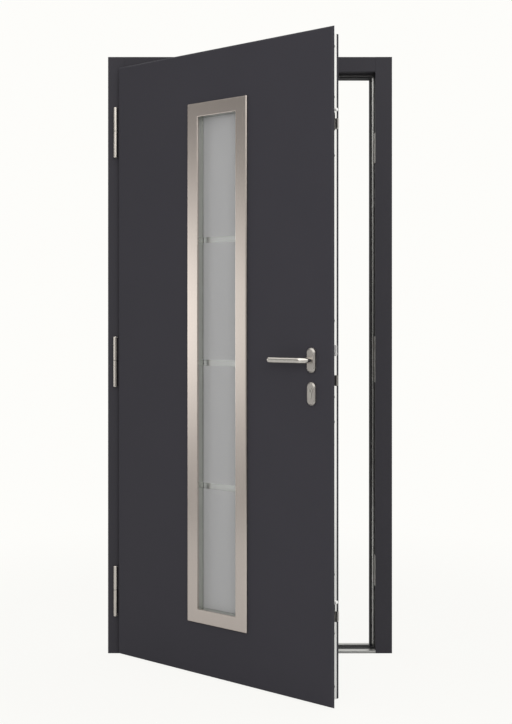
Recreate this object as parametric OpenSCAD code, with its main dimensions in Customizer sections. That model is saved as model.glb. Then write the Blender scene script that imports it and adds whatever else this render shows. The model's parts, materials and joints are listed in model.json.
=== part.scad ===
// Hinged entrance door leaf with a tall narrow light, in its frame.
// The leaf is drawn shut and then swung about its hinges by open_angle.
// X runs along the frame, Y from the pull side into the wall, Z up from the floor.

/* [Frame] */
// Overall width of the frame
frame_w = 1000; // [860:5:1200]
// Overall height of the frame
frame_h = 2100; // [2060:5:2400]
// Depth of the frame through the wall
frame_d = 80; // [74:1:100]
// Width of the jamb face beside the rebate
face_w = 58; // [52:1:75]
// Height of the head face above the rebate
head_w = 51.5; // [46:0.5:75]
// How far the stop stands past the rebate
stop_w = 15.5; // [12:0.5:18]
// Depth of the rebate from the frame face to the stop
rebate_d = 60; // [58:0.5:64]
// Wall of the frame profiles
frame_wall = 2.5; // [1.5:0.1:4]
// Height of the threshold nose
sill_h = 9; // [6:0.5:12]
// Height of the threshold upstand behind the leaf
upstand_h = 14; // [12:0.5:20]
// Depth of the bright nose of the threshold
nose_d = 22; // [14:1:30]
// Diameter of the wall anchor holes
anchor_d = 10.5; // [8:0.5:12]
// Height of the lowest anchor hole
anchor_z = 250; // [150:10:400]
// Distance between the two holes of an anchor pair
anchor_gap = 600; // [400:10:700]

/* [Leaf] */
// Angle the leaf stands open
open_angle = 38.6; // [30:0.1:60]
// Thickness of the leaf
leaf_t = 55; // [52:0.5:60]
// Width of the lip at the top and foot of the leaf
lip_w = 14.5; // [12:0.5:20]
// Width of the lip on the hinge side
hinge_lip = 21.5; // [18:0.5:24]
// Width of the lip on the lock side
lock_lip = 17.5; // [12:0.5:20]
// Thickness of the folded lip
lip_t = 8; // [6:0.25:10]
// Round on the front edge of the lip
lip_r = 7.5; // [3:0.5:7.5]
// Gap between the lip and the frame face
lip_gap = 4; // [3.8:0.1:6]
// Gap between the leaf edge and the rebate
edge_gap = 4.5; // [4:0.1:6]
// Gap above the leaf in the rebate
head_gap = 5; // [4:0.5:8]
// Gap under the lip
floor_gap = 5; // [3:0.5:8]
// Thickness of the steel skins
skin_t = 1.5; // [1:0.1:2]
// Depth of the front skin's edge fold, from the leaf face
front_fold = 20; // [14:0.5:20]
// Depth of the rear skin's edge fold
rear_fold = 9; // [6:0.5:9]
// Width of the bars inside the leaf edges
stile_w = 35; // [28:1:45]

/* [Hinges] */
// Hinge axis, in from the outer edge of the frame
axis_in = 28; // [24:0.5:32]
// Hinge axis, in front of the frame face
axis_out = 11; // [10:0.25:14]
// Diameter of the hinge knuckles
knuckle_d = 14; // [12:0.5:16]
// Length of the knuckle on the leaf
leaf_knuckle = 84; // [60:1:100]
// Length of the knuckle on the frame
frame_knuckle = 93; // [60:1:110]
// Diameter of the hinge pin
pin_d = 8; // [6:0.5:9]
// Thickness of the hinge straps
strap_t = 3; // [2:0.1:3]
// Outer hinges, in from the ends of the leaf
hinge_in = 222; // [160:1:300]

/* [Glass light] */
// Width of the steel surround
light_w = 253; // [220:1:320]
// Leaf above the steel surround
light_top = 170; // [120:1:400]
// Leaf below the steel surround
light_foot = 171; // [120:1:400]
// Width of the surround's face
light_face = 46; // [38:1:56]
// How far the surround stands off the leaf
light_rise = 8; // [5:0.5:12]
// Thickness of each pane
pane_t = 4; // [3:0.5:6]
// Space between the panes
pane_gap = 16; // [10:1:18]
// Front pane, behind the front face of the leaf
pane_in = 21.5; // [16:0.5:24]

/* [Handle] */
// Height of the lever axis
lever_z = 1050; // [1000:1:1100]
// Lever axis, in from the lock edge of the leaf
backset = 59; // [55:1:70]
// Diameter of the lever
lever_d = 19; // [16:0.5:21]
// Length of the lever from its axis
lever_len = 138; // [110:1:160]
// Distance from the leaf face to the middle of the grip
lever_out = 45; // [40:1:60]
// Radius of the lever's bend
lever_bend = 18; // [14:1:24]
// Side of the square spindle
spindle_s = 8; // [7:0.5:9]
// Width of the oval handle rose
rose_w = 31.5; // [28:0.5:40]
// Height of the oval handle rose
rose_h = 76; // [72:1:90]
// Thickness of the oval handle rose
rose_t = 12; // [8:0.5:14]
// Width of the oval keyhole cover
cover_w = 31; // [26:0.5:40]
// Height of the oval keyhole cover
cover_h = 71; // [66:1:90]
// Thickness of the oval keyhole cover
cover_t = 10; // [7:0.5:13]

/* [Lock] */
// Lock plane, in from the front face of the leaf
lock_in = 33; // [32.5:0.5:33.5]
// Width of the long lock strip in the leaf edge
strip_w = 24; // [22:0.5:24]
// Thickness of the long lock strip
strip_t = 3; // [2:0.25:4]
// Height of the lever axis above the lock cylinder
cyl_drop = 92; // [90:1:96]
// Height of the dead bolt
bolt_h = 32; // [24:1:34]
// Thickness of the dead bolt
bolt_t = 10; // [8:0.5:15]
// Throw of the dead bolt
bolt_throw = 12; // [10:0.5:20]
// Height of the latch
latch_h = 33; // [26:1:34]
// Throw of the latch
latch_throw = 13; // [12.5:0.5:14]
// Upper hook's pivot, down from the top of the leaf
upper_unit_in = 300; // [260:1:400]
// Lower hook's pivot, up from the foot of the leaf
lower_unit_in = 260; // [220:1:320]
// Throw of the hooks past the leaf edge
hook_throw = 14.5; // [12:0.5:18]
// Diameter of the round bolts
round_bolt_d = 10; // [8:0.5:12]
// Throw of the round bolts
round_bolt_throw = 12; // [10:0.5:18]

/* [Hidden] */
$fn = 48;

// Clearances
play = 0.3;        // between pieces that are clear of each other
run_play = 0.05;   // radial play of turning and sliding fits
pocket_play = 0.5; // round the lock cases in the leaf
cut = 1;           // overrun of cutting shapes

// Levels through the wall
front_y = -frame_d / 2;
stop_y = front_y + rebate_d;
lip_back = front_y - lip_gap;
leaf_y0 = lip_back - lip_t;
leaf_y1 = leaf_y0 + leaf_t;
inner_y0 = leaf_y0 + skin_t;
inner_y1 = leaf_y1 - skin_t;
lock_y = leaf_y0 + lock_in;
anchor_y = (stop_y + frame_d / 2) / 2;

// Levels along the frame
rebate_x = frame_w / 2 - face_w;
stop_x = rebate_x - stop_w;
body_x = rebate_x - edge_gap;
lip_x = body_x + lock_lip;
lip_x0 = -body_x - hinge_lip;
inner_x = body_x - skin_t;
bar_x1 = inner_x - play;
bar_x0 = body_x - stile_w - skin_t;
lever_x = body_x - backset;
axis_x = axis_in - frame_w / 2;
axis_y = front_y - axis_out;

// Heights
head_z = frame_h - head_w;
lip_z0 = floor_gap;
lip_z1 = head_z - head_gap + lip_w;
body_z0 = lip_z0 + lip_w;
body_z1 = lip_z1 - lip_w;
bar_z0 = body_z0 + skin_t + play;
bar_z1 = body_z1 - skin_t - play;
core_z0 = bar_z0 + stile_w;
core_z1 = bar_z1 - stile_w;
hinge_levels = [lip_z1 - hinge_in, (lip_z0 + lip_z1) / 2, lip_z0 + hinge_in];

// Threshold
sill_base = 3;     // floor of the threshold between nose and upstand
nose_r = 2;        // round on the front edge of the nose
ridge_h = 1.5;     // grip ridges of the insert
ridge_sink = 1;    // insert lies this far below the nose

// Frame seal and the bright strip beside it on the stop
stop_strip_w = 7;  // width of the bright strip
strip_edge = stop_w - stop_strip_w;
stop_strip_t = 2;
seal_y = leaf_y1 + play;
seal_foot = 3;     // foot of the seal on the stop
seal_wall = 3.5;   // width of the seal's raised lip
seal_inset = 1;    // lip stands in from the foot's edge by this

// Fasteners
screw_d = 4;
screw_head_d = 8;
screw_head_t = 2.2;
strike_screw_len = 14;
frame_screw_len = 16;
leaf_screw_len = 22;
strip_screw_len = 20;
strike_t = 1.5;
strike_half = 15;    // half the width of a strike
strike_room = 3;     // round a bolt in its strike opening
strike_margin = 16;  // from an opening to the end of the strike

// Hinge parts
root_w = 6;          // foot between knuckle and strap
bearing_t = 1;
knuckle_gap = 0.8;   // half the space between the two knuckles
strap_in = 34;       // strap reaches this far along the rebate
pin_short_up = 8;    // pin ends this far inside the leaf knuckle
pin_short_down = 10; // and this far inside the frame knuckle
pin_up = leaf_knuckle - pin_short_up;
pin_down = frame_knuckle - pin_short_down;
knuckle_shy = 4;     // knuckles stand past their straps by this
frame_screw_y = front_y + strap_in * 0.6;
leaf_strap_y0 = lip_back + play;
leaf_screw_y = leaf_strap_y0 + strap_in * 0.7;
frame_strap_y1 = front_y;

// Glass light
light_h = lip_z1 - light_top - lip_z0 - light_foot;
light_z = lip_z0 + light_foot + light_h / 2;
open_w = light_w - 2 * light_face;
open_h = light_h - 2 * light_face;
sheet_t = 2;         // sheet of the folded surround
pane_edge = 9;       // pane reaches this far past the sight line
pane_w = open_w + 2 * pane_edge;
pane_h = open_h + 2 * pane_edge;
pane_room = 4;       // round the panes in the leaf
pack_t = 2 * pane_t + pane_gap;
pack_y0 = leaf_y0 + pane_in;
pack_y1 = pack_y0 + pack_t;
gasket_t = 2;

// Handle
neck_gap = 1.5;      // lever stands this far off the leaf skin
neck_hole_d = 18;    // hole in the skins behind the rose
rose_bolt_gap = 28;  // handle bolts, above and below the lever axis
handle_bolt_d = 5;

// Lock
strip_back = body_x - strip_t;
rod_t = 3;
rod_w = 14;
rod_travel = 20;
rod_play = 0.4;      // round the drive rods
rod_clear = 2.5;     // from a rod's end to the next piece at the end of its travel
rod_x1 = strip_back - rod_play;
rod_x0 = rod_x1 - rod_t;
case_x1 = rod_x0 - rod_play;
case_behind = 32;    // main case behind the lever axis
case_below = 75;     // main case below the cylinder
case_above = 100;    // main case above the lever axis
case_x0 = lever_x - case_behind;
case_t = 19;
case_wall = 1.5;
cyl_z = lever_z - cyl_drop;
latch_up = 30;       // latch above the lever axis
bolt_up = 31;        // dead bolt above the cylinder
latch_z = lever_z + latch_up;
bolt_z = cyl_z + bolt_up;
case_z0 = cyl_z - case_below;
case_z1 = lever_z + case_above;
latch_t = 12.5;
latch_body = 30;     // latch inside the case
bolt_body = 35;      // dead bolt inside the case
tail_t = 6;          // latch tail and its lug
tail_up = 3;         // tail above the middle of the latch
tail_h = 8;
tail_z0 = latch_z + tail_up;
tail_z1 = tail_z0 + tail_h;
lug_w = 7;
lug_drop = 9;        // lug reaches this far below the end of the arm
lug_gap = 1.1;       // from the follower's arm to the lug
cam_t = 10;
cam_w = 7;           // width of the cam's nose
cam_r = 8.3;
cam_nose = 13.5;
plug_r = 6.5;
cyl_r = 8.5;
cyl_drop_r = 5;
cyl_leg = 19.5;
cyl_proud = 1;
cyl_y0 = leaf_y0 - cover_t - cyl_proud;
cyl_y1 = leaf_y1 + cover_t + cyl_proud;
cyl_screw_z = cyl_z - cyl_leg;
cyl_screw_d = 5;
key_slot_w = 2.2;
key_slot_up = 4;
key_slot_down = 5.2;
key_slot_len = 26;
cover_drop = 10;     // middle of the keyhole cover below the plug

// Hook units
upper_unit_z = lip_z1 - upper_unit_in;
lower_unit_z = lip_z0 + lower_unit_in;
unit_depth = 45;     // depth of a unit's case
pivot_in = 21;       // hook pivots behind the leaf edge
unit_x0 = case_x1 - unit_depth;
pivot_x = body_x - pivot_in;
pivot_r = 4;
hook_t = 7;
hook_arm = 14;
hook_rise = 25;
hook_reach = body_x + hook_throw - pivot_x;
hook_sweep = sqrt(pow(hook_reach, 2) + pow(hook_rise, 2));
hook_room = 3;       // under the hook's arm in its slot
bolt_over_hook = 4;  // from the hook's sweep to the round bolt
round_bolt_up = hook_sweep + round_bolt_d / 2 + bolt_over_hook;
round_bolt_len = 37;
tab_len = 12;
tab_h = 10;
tab_w = 8;
tab_in = 6;          // tabs, in from the rod's ends
tab_play = 2;        // past a tab in its slot, at both ends of its travel
case_end = 14;       // from a tab slot or bolt to the end of its case
upper_rod_z0 = latch_z + latch_h / 2 + rod_travel + rod_clear;
upper_rod_z1 = upper_unit_z - hook_arm / 2 - hook_room - 2 * tab_play;
lower_rod_z0 = lower_unit_z + round_bolt_up + round_bolt_d / 2 + 2 * rod_clear;
lower_rod_z1 = cyl_screw_z - screw_head_d / 2 - rod_travel - rod_clear;
tab_stroke = tab_in + tab_h + rod_travel + tab_play;
upper_case_z = [upper_rod_z1 - tab_stroke - case_end,
    upper_unit_z + round_bolt_up + round_bolt_d / 2 + case_end];
lower_case_z = [lower_unit_z - hook_arm / 2 - hook_room - case_end,
    lower_rod_z0 + tab_stroke + case_end];

// Follower and spindle
hub_d = 20;
hub_flange = 4;      // added to the hub's diameter inside the case
hub_flange_t = 12;
arm_w = 6;
arm_t = 10;
arm_r = 22;
spindle_play = 0.1;
bolt_grip = 6;       // handle bolts reach this far into the roses
spindle_grip = 24;   // spindle reaches this far into the levers

// Heights of the strip's and the strikes' screws
end_screw = 40;      // outermost screws, in from the strip's ends
screw_off = 20;      // other screws, away from the lock cases
strip_screws = [body_z0 + end_screw, lower_case_z[0] - screw_off, lower_case_z[1] + screw_off,
    case_z0 - screw_off, case_z1 + screw_off, upper_case_z[0] - screw_off,
    upper_case_z[1] + screw_off, body_z1 - end_screw];
bolt_open = [bolt_z - bolt_h / 2 - strike_room, bolt_z + bolt_h / 2 + strike_room];
latch_open = [latch_z - latch_h / 2 - strike_room, latch_z + latch_h / 2 + strike_room];
hook_open = [-hook_arm / 2 - hook_room - strike_room, hook_sweep + strike_room];
round_open = round_bolt_d + 2 * strike_room;
unit_strike = [hook_open[0] - strike_margin, round_bolt_up + round_open / 2 + strike_margin];
strike_ends = [[upper_unit_z + unit_strike[0], upper_unit_z + unit_strike[1]],
    [bolt_open[0] - strike_margin, latch_open[1] + strike_margin],
    [lower_unit_z + unit_strike[0], lower_unit_z + unit_strike[1]]];
strike_screws = [for (e = strike_ends) for (z = [e[0] + strike_margin / 2, e[1] - strike_margin / 2]) z];

// Colours
anthracite = [0.235, 0.228, 0.243];
steel = [0.74, 0.72, 0.70];
bright = [0.84, 0.83, 0.81];
dull_metal = [0.45, 0.45, 0.46];
rubber = [0.06, 0.06, 0.06];
foam = [0.86, 0.80, 0.62];
board = [0.18, 0.17, 0.17];
glass = [0.72, 0.76, 0.74, 0.6];

// Box between two limits on each axis
module block(x, y, z) {
    translate([x[0], y[0], z[0]])
        cube([x[1] - x[0], y[1] - y[0], z[1] - z[0]]);
}

// Box that is centred on x and z
module centred(cx, w, y, cz, h) {
    block([cx - w / 2, cx + w / 2], y, [cz - h / 2, cz + h / 2]);
}

// Outline in X and Z, drawn along Y
module along_y(y0, y1) {
    translate([0, y1, 0])
        rotate([90, 0, 0])
            linear_extrude(y1 - y0) children();
}

// Outline in Y and Z, drawn along X
module along_x(x0, x1) {
    translate([x0, 0, 0])
        rotate([90, 0, 90])
            linear_extrude(x1 - x0) children();
}

// Round bar or bore along Y
module round_y(d, y0, y1, x, z) {
    along_y(y0, y1) translate([x, z]) circle(d = d);
}

// Round bar or bore along X
module round_x(d, x0, x1, y, z) {
    along_x(x0, x1) translate([y, z]) circle(d = d);
}

// Swings a piece of the leaf from shut to its open place
module on_leaf() {
    translate([axis_x, axis_y, 0])
        rotate([0, 0, -open_angle])
            translate([-axis_x, -axis_y, 0]) children();
}

// Turns a piece of the front face round to the rear face
module at_rear() {
    translate([0, leaf_y0 + leaf_y1, 0])
        mirror([0, 1, 0]) children();
}

// Countersunk screw along X, its head flush with x and its point towards dir
module screw_x(x, dir, y, z, len) {
    translate([x, y, z])
        rotate([0, 90 * dir, 0]) {
            cylinder(h = screw_head_t, d1 = screw_head_d, d2 = screw_d);
            cylinder(h = len, d = screw_d);
        }
}

// Room for that screw
module screw_room(x, dir, y, z, len) {
    translate([x, y, z])
        rotate([0, 90 * dir, 0]) {
            translate([0, 0, -cut])
                cylinder(h = cut + 0.01, d = screw_head_d + 2 * play);
            cylinder(h = screw_head_t, d1 = screw_head_d + 2 * play, d2 = screw_d + 2 * play);
            cylinder(h = len + cut, d = screw_d + 2 * play);
        }
}

// Heights of the screws in one strap that starts at z and is h long
function strap_screws(z, h) = [z + h * 0.2, z + h * 0.8];

// Jamb on the +X side: rebate and stop round two chambers, closed at the top and open to the floor
module jamb() {
    difference() {
        linear_extrude(frame_h)
            polygon([[rebate_x, front_y], [frame_w / 2, front_y], [frame_w / 2, frame_d / 2],
                [stop_x, frame_d / 2], [stop_x, stop_y], [rebate_x, stop_y]]);
        block([rebate_x + frame_wall, frame_w / 2 - frame_wall], [front_y + frame_wall, stop_y],
            [-cut, frame_h - frame_wall]);
        block([stop_x + frame_wall, frame_w / 2 - frame_wall],
            [stop_y + frame_wall, frame_d / 2 - frame_wall], [-cut, frame_h - frame_wall]);
    }
}

// Wall anchor holes right through a jamb, in two pairs
module anchor_holes() {
    for (z = [anchor_z, anchor_z + anchor_gap, frame_h - anchor_z - anchor_gap, frame_h - anchor_z])
        round_x(anchor_d, stop_x - cut, frame_w / 2 + cut, anchor_y, z);
}

// Openings that the bolts, hooks and latch enter, through strike and jamb wall
module strike_openings(x0, x1) {
    hook_y = [lock_y - hook_t / 2 - strike_room, lock_y + hook_t / 2 + strike_room];
    bolt_y = [lock_y - bolt_t / 2 - strike_room, lock_y + bolt_t / 2 + strike_room];
    for (z = [upper_unit_z, lower_unit_z]) {
        block([x0, x1], hook_y, [z + hook_open[0], z + hook_open[1]]);
        round_x(round_open, x0, x1, lock_y, z + round_bolt_up);
    }
    block([x0, x1], bolt_y, bolt_open);
    block([x0, x1], bolt_y, latch_open);
}

module hinge_jamb() {
    color(anthracite)
        difference() {
            mirror([1, 0, 0])
                difference() {
                    jamb();
                    anchor_holes();
                }
            for (hz = hinge_levels)
                for (z = strap_screws(hz - frame_knuckle, frame_knuckle))
                    screw_room(-rebate_x + strap_t, -1, frame_screw_y, z, frame_screw_len);
        }
}

module lock_jamb() {
    color(anthracite)
        difference() {
            jamb();
            anchor_holes();
            strike_openings(rebate_x - cut, rebate_x + frame_wall + cut);
            for (z = strike_screws)
                screw_room(rebate_x - strike_t, 1, lock_y, z, strike_screw_len);
        }
}

module head_rail() {
    color(anthracite) {
        difference() {
            block([-rebate_x, rebate_x], [front_y, stop_y], [head_z, frame_h]);
            block([-rebate_x - cut, rebate_x + cut], [front_y + frame_wall, stop_y - frame_wall],
                [head_z + frame_wall, frame_h - frame_wall]);
        }
        difference() {
            block([-stop_x, stop_x], [stop_y, frame_d / 2], [head_z - stop_w, frame_h]);
            block([-stop_x - cut, stop_x + cut], [stop_y + frame_wall, frame_d / 2 - frame_wall],
                [head_z - stop_w + frame_wall, frame_h - frame_wall]);
        }
    }
}

// Section of the threshold: rounded bright nose, thin base and rear upstand
module threshold() {
    color(bright) {
        along_x(-rebate_x, rebate_x)
            union() {
                translate([front_y, 0]) square([nose_d, sill_h - nose_r]);
                translate([front_y + nose_r, 0]) square([nose_d - nose_r, sill_h]);
                translate([front_y + nose_r, sill_h - nose_r]) circle(nose_r);
                translate([front_y, 0]) square([rebate_d, sill_base]);
            }
        block([-stop_x, stop_x], [stop_y, frame_d / 2], [0, upstand_h]);
    }
}

// Dark insert that lies between nose and upstand, with grip ridges
module threshold_insert() {
    ridges = 5;
    y0 = front_y + nose_d + play;
    pitch = (stop_y - play - y0) / ridges;
    color(rubber)
        along_x(-rebate_x + play, rebate_x - play)
            union() {
                translate([y0, sill_base]) square([stop_y - play - y0, sill_h - sill_base - ridge_sink]);
                for (i = [0 : ridges - 1])
                    translate([y0 + (i + 0.25) * pitch, sill_h - ridge_h]) square([pitch / 2, ridge_h]);
            }
}

// Three sides of the stop, from inside offset a to inside offset b
module stop_ring(a, b, y, foot) {
    difference() {
        block([-stop_x - b, stop_x + b], y, [foot, head_z - stop_w + b]);
        block([-stop_x - a, stop_x + a], [y[0] - cut, y[1] + cut], [foot - cut, head_z - stop_w + a]);
    }
}

module stop_strips() {
    color(bright)
        stop_ring(strip_edge + play, stop_w - play, [stop_y - stop_strip_t, stop_y], sill_h + play);
}

module frame_seal() {
    color(rubber) {
        stop_ring(play, strip_edge, [stop_y - seal_foot, stop_y], upstand_h + play);
        stop_ring(play + seal_inset, play + seal_inset + seal_wall, [seal_y, stop_y - seal_foot], body_z0);
    }
}

// Flat strike on the rebate with its openings and screw holes
module strike(ends) {
    color(steel)
        difference() {
            block([rebate_x - strike_t, rebate_x], [lock_y - strike_half, lock_y + strike_half], ends);
            strike_openings(rebate_x - strike_t - cut, rebate_x + cut);
            for (z = [ends[0] + strike_margin / 2, ends[1] - strike_margin / 2])
                screw_room(rebate_x - strike_t, 1, lock_y, z, strike_screw_len);
        }
}

module upper_strike() { strike(strike_ends[0]); }
module main_strike() { strike(strike_ends[1]); }
module lower_strike() { strike(strike_ends[2]); }

module frame_screws() {
    color(dull_metal) {
        for (z = strike_screws)
            screw_x(rebate_x - strike_t, 1, lock_y, z, strike_screw_len);
        for (hz = hinge_levels)
            for (z = strap_screws(hz - frame_knuckle, frame_knuckle))
                screw_x(-rebate_x + strap_t, -1, frame_screw_y, z, frame_screw_len);
    }
}

// Blind knuckle with a domed outer end, standing up from z = 0
module knuckle(len, bore) {
    r = knuckle_d / 2;
    edge = 2;
    translate([axis_x, axis_y, 0])
        rotate_extrude()
            difference() {
                union() {
                    square([r, len - edge]);
                    square([r - edge, len]);
                    translate([r - edge, len - edge]) circle(edge);
                }
                translate([-cut, -cut]) square([pin_d / 2 + run_play + cut, bore + cut]);
                translate([-knuckle_d, -cut]) square([knuckle_d, len + 2 * cut]);
            }
}

// Bore through the foot of a knuckle, so that the pin passes it
module pin_room(z0, z1) {
    translate([axis_x, axis_y, z0])
        cylinder(h = z1 - z0, d = pin_d + 2 * run_play);
}

// Lower half: knuckle, foot and strap on the frame face and round into the rebate
module hinge_frame_half(z) {
    bottom = z - frame_knuckle;
    top = z - knuckle_gap;
    color(steel)
        difference() {
            union() {
                translate([0, 0, top])
                    mirror([0, 0, 1]) knuckle(top - bottom, pin_down + 1);
                block([axis_x - root_w / 2, axis_x + root_w / 2], [axis_y, frame_strap_y1],
                    [bottom + knuckle_shy, top]);
                block([axis_x - root_w / 2, -rebate_x + strap_t], [front_y - strap_t, front_y],
                    [bottom + knuckle_shy, top]);
                block([-rebate_x, -rebate_x + strap_t], [front_y - strap_t, front_y + strap_in],
                    [bottom + knuckle_shy, top]);
            }
            pin_room(z - pin_down - 1, z);
            for (s = strap_screws(bottom, frame_knuckle))
                screw_room(-rebate_x + strap_t, -1, frame_screw_y, s, frame_screw_len);
        }
}

module upper_hinge_frame_half() { hinge_frame_half(hinge_levels[0]); }
module middle_hinge_frame_half() { hinge_frame_half(hinge_levels[1]); }
module lower_hinge_frame_half() { hinge_frame_half(hinge_levels[2]); }

module hinge_pins() {
    color(dull_metal)
        for (z = hinge_levels)
            translate([axis_x, axis_y, z - pin_down])
                cylinder(h = pin_down + pin_up, d = pin_d);
}

module hinge_bearings() {
    color(rubber)
        for (z = hinge_levels)
            translate([axis_x, axis_y, z - bearing_t / 2])
                difference() {
                    cylinder(h = bearing_t, d = knuckle_d - 1);
                    translate([0, 0, -cut])
                        cylinder(h = bearing_t + 2 * cut, d = pin_d + 2 * run_play);
                }
}

// Window for the light through skin or core
module light_window(y0, y1) {
    centred(0, pane_w + 2 * pane_room, [y0, y1], light_z, pane_h + 2 * pane_room);
}

// Keyhole outline of the lock cylinder, grown by g
module cylinder_outline(g) {
    translate([lever_x, cyl_z]) {
        circle(cyl_r + g);
        translate([-cyl_drop_r - g, -cyl_leg]) square([2 * (cyl_drop_r + g), cyl_leg]);
        translate([0, -cyl_leg]) circle(cyl_drop_r + g);
    }
}

// Holes for lever, handle bolts and cylinder through skin or core
module handle_holes(y0, y1) {
    round_y(neck_hole_d, y0, y1, lever_x, lever_z);
    for (s = [-1, 1])
        round_y(handle_bolt_d + 2 * pocket_play, y0, y1, lever_x, lever_z + s * rose_bolt_gap);
    along_y(y0, y1) cylinder_outline(pocket_play);
}

// Outline from a to b with round corners at its front end y[0]
module round_front(a, b, y, r) {
    translate([a, y[0] + r]) square([b - a, y[1] - y[0] - r]);
    translate([a + r, y[0]]) square([b - a - 2 * r, y[1] - y[0]]);
    intersection() {
        for (c = [a + r, b - r])
            translate([c, y[0] + r]) circle(r);
        translate([a, y[0]]) square([b - a, y[1] - y[0]]);
    }
}

// Plate whose front edges are round, as a folded sheet's are
module folded_plate(x, y, z, r) {
    intersection() {
        translate([0, 0, z[0]])
            linear_extrude(z[1] - z[0]) round_front(x[0], x[1], y, r);
        along_x(x[0], x[1])
            mirror([1, -1]) round_front(z[0], z[1], y, r);
    }
}

// Steel tray with a hollow folded lip all round
module front_skin() {
    color(anthracite) on_leaf()
        difference() {
            union() {
                folded_plate([lip_x0, lip_x], [leaf_y0, lip_back], [lip_z0, lip_z1], lip_r);
                block([-body_x, body_x], [lip_back - skin_t, leaf_y0 + front_fold], [body_z0, body_z1]);
            }
            folded_plate([lip_x0 + skin_t, lip_x - skin_t], [inner_y0, lip_back - skin_t],
                [lip_z0 + skin_t, lip_z1 - skin_t], lip_r - skin_t);
            block([-inner_x, inner_x], [lip_back - 2 * skin_t, leaf_y0 + front_fold + cut],
                [body_z0 + skin_t, body_z1 - skin_t]);
            light_window(leaf_y0 - cut, inner_y0 + cut);
            handle_holes(leaf_y0 - cut, inner_y0 + cut);
        }
}

module rear_skin() {
    color(anthracite) on_leaf()
        difference() {
            block([-body_x, body_x], [leaf_y1 - rear_fold, leaf_y1], [body_z0, body_z1]);
            block([-inner_x, inner_x], [leaf_y1 - rear_fold - cut, inner_y1],
                [body_z0 + skin_t, body_z1 - skin_t]);
            light_window(inner_y1 - cut, leaf_y1 + cut);
            handle_holes(inner_y1 - cut, leaf_y1 + cut);
        }
}

// Room in the leaf for the three lock cases and the drive rods behind the strip
module lock_rooms() {
    y = [lock_y - case_t / 2 - pocket_play, lock_y + case_t / 2 + pocket_play];
    block([case_x0 - pocket_play, body_x], y, [case_z0 - pocket_play, case_z1 + pocket_play]);
    block([unit_x0 - pocket_play, body_x], y,
        [upper_case_z[0] - pocket_play, upper_case_z[1] + pocket_play]);
    block([unit_x0 - pocket_play, body_x], y,
        [lower_case_z[0] - pocket_play, lower_case_z[1] + pocket_play]);
    block([rod_x0 - rod_play, body_x],
        [lock_y - rod_w / 2 - rod_play, lock_y + rod_w / 2 + rod_play],
        [lower_case_z[1], upper_case_z[0]]);
}

module foam_core() {
    x = bar_x0 - play;
    color(foam) on_leaf()
        difference() {
            block([-x, x], [inner_y0 + play, inner_y1 - play], [core_z0 + play, core_z1 - play]);
            light_window(leaf_y0, leaf_y1);
            handle_holes(leaf_y0, leaf_y1);
            lock_rooms();
        }
}

module lock_stile() {
    color(board) on_leaf()
        difference() {
            block([bar_x0, bar_x1], [inner_y0 + play, inner_y1 - play], [bar_z0, bar_z1]);
            block([strip_back, body_x], [lock_y - strip_w / 2 - play, lock_y + strip_w / 2 + play],
                [body_z0, body_z1]);
            lock_rooms();
            for (z = strip_screws)
                screw_room(body_x, -1, lock_y, z, strip_screw_len);
        }
}

module hinge_stile() {
    color(board) on_leaf()
        difference() {
            block([-bar_x1, -bar_x0], [inner_y0 + play, inner_y1 - play], [bar_z0, bar_z1]);
            for (hz = hinge_levels)
                for (z = strap_screws(hz, leaf_knuckle))
                    screw_room(-body_x - play - strap_t, 1, leaf_screw_y, z, leaf_screw_len);
        }
}

module top_rail() {
    color(board) on_leaf()
        block([-bar_x0 + play, bar_x0 - play], [inner_y0 + play, inner_y1 - play], [core_z1, bar_z1]);
}

module bottom_rail() {
    color(board) on_leaf()
        block([-bar_x0 + play, bar_x0 - play], [inner_y0 + play, inner_y1 - play], [bar_z0, core_z0]);
}

// Wiper under the leaf: a holding bar and a thin blade over the threshold
module bottom_seal() {
    blade = 3;
    blade_gap = 1;
    bar = 10;
    bar_h = 5;
    color(rubber) on_leaf()
        along_x(-bar_x0 + play, bar_x0 - play)
            union() {
                translate([lock_y - bar / 2, bar_z0 - bar_h]) square([bar, bar_h]);
                translate([lock_y - blade / 2, sill_h + blade_gap])
                    square([blade, bar_z0 - bar_h - sill_h]);
            }
}

// Upper half: knuckle, foot and strap behind the lip and on the leaf edge
module hinge_leaf_half(z) {
    bottom = z + knuckle_gap;
    top = z + leaf_knuckle;
    edge = -body_x - play;
    strap_y = [leaf_strap_y0, leaf_strap_y0 + strap_t];
    color(steel) on_leaf()
        difference() {
            union() {
                translate([0, 0, bottom]) knuckle(top - bottom, pin_up + 1);
                block([axis_x - root_w / 2, axis_x + root_w / 2], [axis_y, strap_y[1]],
                    [bottom, top - knuckle_shy]);
                block([axis_x - root_w / 2, edge], strap_y, [bottom, top - knuckle_shy]);
                block([edge - strap_t, edge], [leaf_strap_y0, leaf_strap_y0 + strap_in],
                    [bottom, top - knuckle_shy]);
            }
            pin_room(z, z + pin_up + 1);
            for (s = strap_screws(z, leaf_knuckle))
                screw_room(edge - strap_t, 1, leaf_screw_y, s, leaf_screw_len);
        }
}

module upper_hinge_leaf_half() { hinge_leaf_half(hinge_levels[0]); }
module middle_hinge_leaf_half() { hinge_leaf_half(hinge_levels[1]); }
module lower_hinge_leaf_half() { hinge_leaf_half(hinge_levels[2]); }

module leaf_screws() {
    color(dull_metal) on_leaf() {
        for (z = strip_screws)
            screw_x(body_x, -1, lock_y, z, strip_screw_len);
        for (hz = hinge_levels)
            for (z = strap_screws(hz, leaf_knuckle))
                screw_x(-body_x - play - strap_t, 1, leaf_screw_y, z, leaf_screw_len);
    }
}

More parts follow.
